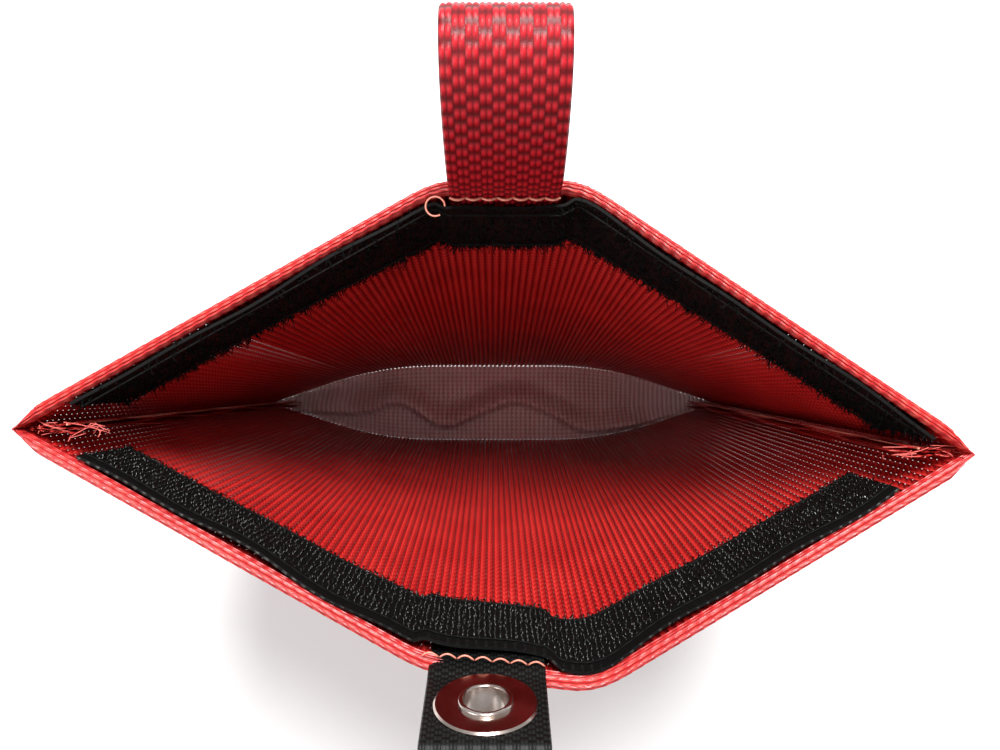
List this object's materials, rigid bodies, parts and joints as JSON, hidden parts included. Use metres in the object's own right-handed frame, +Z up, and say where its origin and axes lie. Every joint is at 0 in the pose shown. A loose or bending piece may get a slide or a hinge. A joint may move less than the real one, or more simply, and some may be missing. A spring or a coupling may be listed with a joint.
{
  "type": "fire blanket pouch",
  "caption": "Open-topped woven mesh pouch for a fire blanket, with a webbing hanging loop, a grommet tab and a hook-and-loop mouth.",
  "frame": {"origin": "middle of the base's underside, on the surface the pouch stands on", "axes": "+Z up through the open mouth, +Y towards the back panel and its hanging loop, +X to the right seen from the front"},
  "size_m": [0.2145, 0.145, 0.2295],
  "materials": {
    "mesh": "open woven red mesh cloth with raised ribs",
    "hem": "folded double layer of the red mesh cloth",
    "tape": "black woven nylon tape backing",
    "pile": "black napped loop pile",
    "hooks": "black moulded nylon hooks in cross rows",
    "black_thread": "black sewing thread",
    "loop_webbing": "coarse woven red nylon webbing",
    "tab_webbing": "fine woven black nylon webbing",
    "thread": "peach sewing thread",
    "metal": "nickel plated pressed metal"
  },
  "bodies": {
    "pouch": {"back_panel": "mesh", "base_panel": "mesh", "front_panel_foot": "mesh", "front_corner_left": "mesh", "front_corner_right": "mesh", "back_hem": "hem", "side_seam_left": "hem", "side_seam_right": "hem", "side_seam_left_stitching": "thread", "side_seam_right_stitching": "thread", "loop_tape_backing": "tape", "loop_tape_pile": "pile", "loop_tape_stitching": "black_thread", "hanging_loop_inner_end": "loop_webbing", "hanging_loop_outer_end": "loop_webbing", "hanging_loop_inner_stitching": "thread", "hanging_loop_outer_stitching": "thread", "thread_tail": "thread"},
    "front": {"front_panel_center": "mesh", "front_hem": "hem", "hook_tape_backing": "tape", "hook_tape_hooks": "hooks", "hook_tape_stitching": "black_thread", "grommet_tab_inner_end": "tab_webbing", "grommet_tab_outer_end": "tab_webbing", "grommet_tab_stitching": "thread"},
    "front_left_inner": {"front_panel_left_inner": "mesh"},
    "front_right_inner": {"front_panel_right_inner": "mesh"},
    "front_left_outer": {"front_panel_left_outer": "mesh"},
    "front_right_outer": {"front_panel_right_outer": "mesh"},
    "loop": {"hanging_loop": "loop_webbing"},
    "tab": {"grommet_tab": "tab_webbing", "grommet": "metal", "grommet_washer": "metal"}
  },
  "joints": [
    {"name": "front_fold", "type": "hinge", "parent": "pouch", "child": "front", "pos_m": [0, -0.0155, 0], "axis": [-1, 0, 0], "range_deg": [-6, 24], "stiffness_Nm_per_rad": 0.5, "deforming": ["front_hem", "hook_tape_backing", "hook_tape_hooks", "hook_tape_stitching"]},
    {"name": "front_left_inner_fold", "type": "hinge", "parent": "pouch", "child": "front_left_inner", "pos_m": [0, -0.0155, 0], "axis": [-1, 0, 0], "range_deg": [-4.2, 16.5]},
    {"name": "front_right_inner_fold", "type": "hinge", "parent": "pouch", "child": "front_right_inner", "pos_m": [0, -0.0155, 0], "axis": [-1, 0, 0], "range_deg": [-4.2, 16.5]},
    {"name": "front_left_outer_fold", "type": "hinge", "parent": "pouch", "child": "front_left_outer", "pos_m": [0, -0.0155, 0], "axis": [-1, 0, 0], "range_deg": [-2.2, 8.4]},
    {"name": "front_right_outer_fold", "type": "hinge", "parent": "pouch", "child": "front_right_outer", "pos_m": [0, -0.0155, 0], "axis": [-1, 0, 0], "range_deg": [-2.2, 8.4]},
    {"name": "hanging_loop_flex", "type": "hinge", "parent": "pouch", "child": "loop", "pos_m": [0.004, 0.056, 0.1905], "axis": [1, 0, 0], "range_deg": [-25, 22], "stiffness_Nm_per_rad": 0.08},
    {"name": "grommet_tab_flex", "type": "hinge", "parent": "front", "child": "tab", "pos_m": [0, -0.0534, 0.2003], "axis": [1, 0, 0], "range_deg": [-20, 45], "stiffness_Nm_per_rad": 0.05}
  ],
  "couplings": [
    {"joint": "front_left_inner_fold", "follows": "front_fold", "ratio": 0.68},
    {"joint": "front_right_inner_fold", "follows": "front_fold", "ratio": 0.68},
    {"joint": "front_left_outer_fold", "follows": "front_fold", "ratio": 0.34},
    {"joint": "front_right_outer_fold", "follows": "front_fold", "ratio": 0.34}
  ]
}
